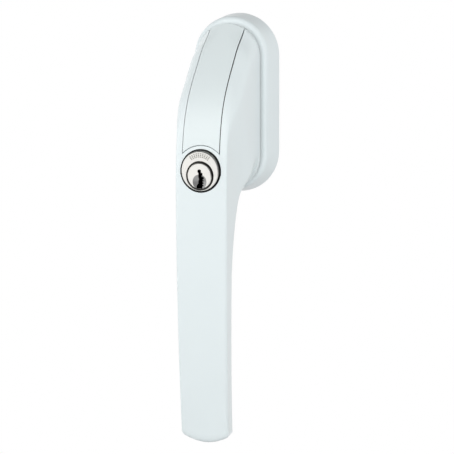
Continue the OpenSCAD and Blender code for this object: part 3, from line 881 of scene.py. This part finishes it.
def build_springs():
    springs_low, springs_high = limits("pin_springs")
    coils = []
    for d in CHAMBERS:
        coils.append(coil("spring", (0, d, springs_low[2]), (0, 0, 1), 0.95, 0.13,
                          springs_high[2] - springs_low[2], 5))
    finish(smooth(join("pin_spring_coils", coils)), "handle", "hard_steel", "pin_springs")
    for side, node in ((-1, "detent_spring_left"), (1, "detent_spring_right")):
        low, high = limits(node)
        start = low[0] if side > 0 else high[0]
        spring = coil(node + "_coil", (start, DETENT_D, 0), (side, 0, 0), 1.3, 0.18, high[0] - low[0], 2.5)
        finish(smooth(spring), "handle", "hard_steel", node)


def build_spindle():
    """A drawn square bar with slightly rounded long edges and a bevelled back end."""

    def square(half, depth):
        inner = half - SPINDLE_EDGE_R
        points = []
        for k, (sx, sz) in enumerate(((1, 1), (-1, 1), (-1, -1), (1, -1))):
            points += arc(sx * inner, sz * inner, SPINDLE_EDGE_R, 90 * k, 90 * k + 90, 5)
        return [(x, depth, z) for x, z in points]

    bar = loft("spindle_bar", [square(SPINDLE_HALF - 0.7, SPINDLE_BACK),
                               square(SPINDLE_HALF, SPINDLE_BACK + SPINDLE_BEVEL),
                               square(SPINDLE_HALF, SPINDLE_FRONT - 0.2),
                               square(SPINDLE_HALF - 0.2, SPINDLE_FRONT)])
    hole = loft("pin_hole", [[(x, PIN_D + u, v) for u, v in circle(PIN_R, 32)] for x in (-9, 9)])
    cut(bar, hole)
    finish(smooth(bar, 25), "handle", "steel", "spindle")


def thread_radius(depth, angle):
    """Radius of an M5 thread: flat crests and V grooves that climb one pitch a turn."""
    share = (depth / THREAD_PITCH + angle / (2 * math.pi)) % 1.0
    groove = max(1 - abs(share - 0.5) / 0.42, 0)
    return SCREW_R - THREAD_DEEP * groove


def build_screw(node, z):
    """A countersunk screw: a thread, a waisted shank, and a head with a cross recess."""
    start = SCREW_BACK + THREAD_PITCH
    count = round((SCREW_SHANK_END - start) / THREAD_PITCH * THREAD_ROWS)
    rings = [[(u, SCREW_BACK, z + v) for u, v in circle(SCREW_R - 1.3, THREAD_STEPS)]]
    for i in range(count + 1):
        depth = mix(start, SCREW_SHANK_END, i / count)
        ring = []
        for k in range(THREAD_STEPS):
            a = 2 * math.pi * k / THREAD_STEPS
            r = thread_radius(depth, a)
            ring.append((r * math.cos(a), depth, z + r * math.sin(a)))
        rings.append(ring)
    head = [(SHANK_R, SCREW_SHANK_END), (SHANK_R, HEAD_SEAT),
            (HEAD_R - 0.15, HEAD_SEAT), (HEAD_R, HEAD_SEAT + 0.15),
            (HEAD_R, HEAD_SEAT + 1.1), (HEAD_R - 0.1, HEAD_SEAT + 1.3),
            (HEAD_R - 0.75, HEAD_FACE - 0.45), (HEAD_R - 1.4, HEAD_FACE - 0.1), (HEAD_R - 1.8, HEAD_FACE)]
    rings += [[(u, depth, z + v) for u, v in circle(r, THREAD_STEPS)] for r, depth in head]
    screw = loft(node + "_threaded", rings)
    recess_floor = HEAD_SEAT + 0.8
    mouth = HEAD_FACE + 0.3
    low, high = [[(half_long, half_w), (-half_long, half_w), (-half_long, -half_w), (half_long, -half_w)]
                 for half_long, half_w in ((1.3, 0.35), (2.3, 0.5))]
    wing = loft("wing", [[(u, recess_floor, v + z) for u, v in low], [(u, mouth, v + z) for u, v in high]])
    cross_wing = loft("cross_wing", [[(-v, recess_floor, u + z) for u, v in low],
                                     [(-v, mouth, u + z) for u, v in high]])
    middle_hole = turned("middle_hole", [(0.2, recess_floor - 0.5), (0.95, recess_floor + 0.1),
                                         (1.3, mouth)], z=z, steps=24)
    cut(screw, wing, cross_wing, middle_hole)
    finish(smooth(screw, 28), "rosette", "steel", node)


build_cover()
build_collar()
build_handle()
build_panel()
build_lock_body()
build_plug()
build_springs()
build_spindle()
build_screw("fixing_screw_top", SCREW_Z)
build_screw("fixing_screw_bottom", -SCREW_Z)

# ---------- Camera and light ----------

VIEW_AZIMUTH = math.radians(21.0)
VIEW_ELEVATION = math.radians(8.22)
VIEW_ROLL = math.radians(-0.27)
VIEW_DISTANCE = 614.2
VIEW_TARGET = (-6.0, 0.0, -54.16)      # (x, depth, z)
LENS = 111.87
LIGHT_AIM = (0.0, -0.02, -0.05)        # metres
SOFTBOX_SIZE = 0.7
LIGHT_FROM_AROUND = 0.84
GLOSS_FROM_AROUND = 1.0
FLAG_WAY = (0.93, -0.37, 0.0)          # direction of the dark flag
FLOOR_Z = -210
FLOOR_HALF = 800

scene = bpy.context.scene


def build_camera():
    back = Vector((math.sin(VIEW_AZIMUTH) * math.cos(VIEW_ELEVATION),
                   -math.cos(VIEW_AZIMUTH) * math.cos(VIEW_ELEVATION), math.sin(VIEW_ELEVATION)))
    right = Vector((math.cos(VIEW_AZIMUTH), math.sin(VIEW_AZIMUTH), 0))
    up = back.cross(right)
    turned_right = math.cos(VIEW_ROLL) * right + math.sin(VIEW_ROLL) * up
    turned_up = math.cos(VIEW_ROLL) * up - math.sin(VIEW_ROLL) * right
    data = bpy.data.cameras.new("camera")
    data.lens = LENS
    data.sensor_width = 36
    data.clip_start = 0.01
    camera = bpy.data.objects.new("camera", data)
    scene.collection.objects.link(camera)
    placed = Matrix((turned_right, turned_up, back)).transposed().to_4x4()
    placed.translation = Vector(point(*VIEW_TARGET)) + back * VIEW_DISTANCE * MM
    camera.matrix_world = placed
    scene.camera = camera


def softbox(name, at, power, glossy=False):
    """A round area light at a place in metres. Without glossy it doesn't show in reflections."""
    data = bpy.data.lights.new(name, "AREA")
    data.shape = "DISK"
    data.size = SOFTBOX_SIZE
    data.energy = power
    light = bpy.data.objects.new(name, data)
    scene.collection.objects.link(light)
    light.visible_glossy = glossy
    light.location = at
    light.rotation_euler = (Vector(LIGHT_AIM) - Vector(at)).to_track_quat("-Z", "Y").to_euler()


def build_world():
    """A studio round the handle: paler round the sides than above, and for gloss a dark flag on the
    right. The camera itself sees white paper."""
    world = bpy.data.worlds.new("studio")
    scene.world = world
    world.use_nodes = True
    sky = world.node_tree

    def sky_node(kind, **settings):
        node = sky.nodes.new(kind)
        for key, value in settings.items():
            setattr(node, key, value)
        return node

    def sky_range(value, from_low, from_high, to_low, to_high):
        """Maps a value smoothly from one range onto another."""
        node = sky_node("ShaderNodeMapRange", interpolation_type="SMOOTHSTEP")
        node.inputs["From Min"].default_value = from_low
        node.inputs["From Max"].default_value = from_high
        node.inputs["To Min"].default_value = to_low
        node.inputs["To Max"].default_value = to_high
        sky.links.new(value, node.inputs["Value"])
        return node.outputs["Result"]

    def product(value, factor):
        """The product of an output and a number or another output."""
        node = sky_node("ShaderNodeMath", operation="MULTIPLY")
        sky.links.new(value, node.inputs[0])
        if isinstance(factor, float):
            node.inputs[1].default_value = factor
        else:
            sky.links.new(factor, node.inputs[1])
        return node.outputs[0]

    def background(colour, strength=None):
        node = sky_node("ShaderNodeBackground")
        node.inputs["Color"].default_value = colour
        if strength is not None:
            sky.links.new(strength, node.inputs["Strength"])
        return node.outputs["Background"]

    def either(chooser, otherwise, chosen):
        node = sky_node("ShaderNodeMixShader")
        sky.links.new(chooser, node.inputs["Fac"])
        sky.links.new(otherwise, node.inputs[1])
        sky.links.new(chosen, node.inputs[2])
        return node.outputs["Shader"]

    way = sky_node("ShaderNodeTexCoord").outputs["Generated"]
    axes = sky_node("ShaderNodeSeparateXYZ")
    sky.links.new(way, axes.inputs["Vector"])
    height = axes.outputs["Z"]
    toward_flag = sky_node("ShaderNodeVectorMath", operation="DOT_PRODUCT")
    sky.links.new(way, toward_flag.inputs[0])
    toward_flag.inputs[1].default_value = FLAG_WAY
    dim_above = sky_range(height, 0.1, 0.95, 1.0, 0.35)
    dark_above = sky_range(height, 0.35, 0.8, 1.0, 0.05)
    dark_flag = sky_range(toward_flag.outputs["Value"], 0.72, 0.9, 1.0, 0.05)
    diffuse_sky = background((0.985, 0.995, 1.0, 1), product(dim_above, LIGHT_FROM_AROUND))
    gloss_sky = background((1, 1, 1, 1), product(product(dark_above, dark_flag), GLOSS_FROM_AROUND))
    paper = background((1, 1, 1, 1))
    seen = sky_node("ShaderNodeLightPath")
    lit = either(seen.outputs["Is Glossy Ray"], diffuse_sky, gloss_sky)
    shown = either(seen.outputs["Is Camera Ray"], lit, paper)
    sky.links.new(shown, sky.nodes["World Output"].inputs["Surface"])


def build_floor():
    """A pale floor well below the handle, which the camera sees as white paper."""
    corners = [(-FLOOR_HALF, FLOOR_HALF, FLOOR_Z), (FLOOR_HALF, FLOOR_HALF, FLOOR_Z),
               (FLOOR_HALF, -FLOOR_HALF, FLOOR_Z), (-FLOOR_HALF, -FLOOR_HALF, FLOOR_Z)]
    floor = new_object("floor", corners, [(0, 1, 2, 3)])
    look = Nodes("white_floor")
    look.set(Base_Color=(0.44, 0.45, 0.46, 1), Roughness=0.9)
    seen = look.add("ShaderNodeLightPath")
    shine = look.add("ShaderNodeEmission", Strength=GLOSS_FROM_AROUND)
    paper = look.add("ShaderNodeEmission")
    surface = look.shader.outputs["BSDF"]
    for ray, other in (("Is Glossy Ray", shine), ("Is Camera Ray", paper)):
        either = look.add("ShaderNodeMixShader")
        look.link(seen.outputs[ray], either.inputs["Fac"])
        look.link(surface, either.inputs[1])
        look.link(other.outputs["Emission"], either.inputs[2])
        surface = either.outputs["Shader"]
    look.link(surface, look.tree.nodes["Material Output"].inputs["Surface"])
    floor.data.materials.append(look.material)


build_camera()
softbox("left_softbox", (-1.0, -0.12, 0.1), 2.4)
softbox("left_front_softbox", (-0.7, -0.7, 0.1), 1.9, glossy=True)
softbox("upper_softbox", (-0.2, -0.85, 0.5), 0.9, glossy=True)
softbox("right_front_softbox", (0.7, -0.7, 0.0), 4.8)
build_world()
build_floor()
scene.view_settings.view_transform = "Standard"
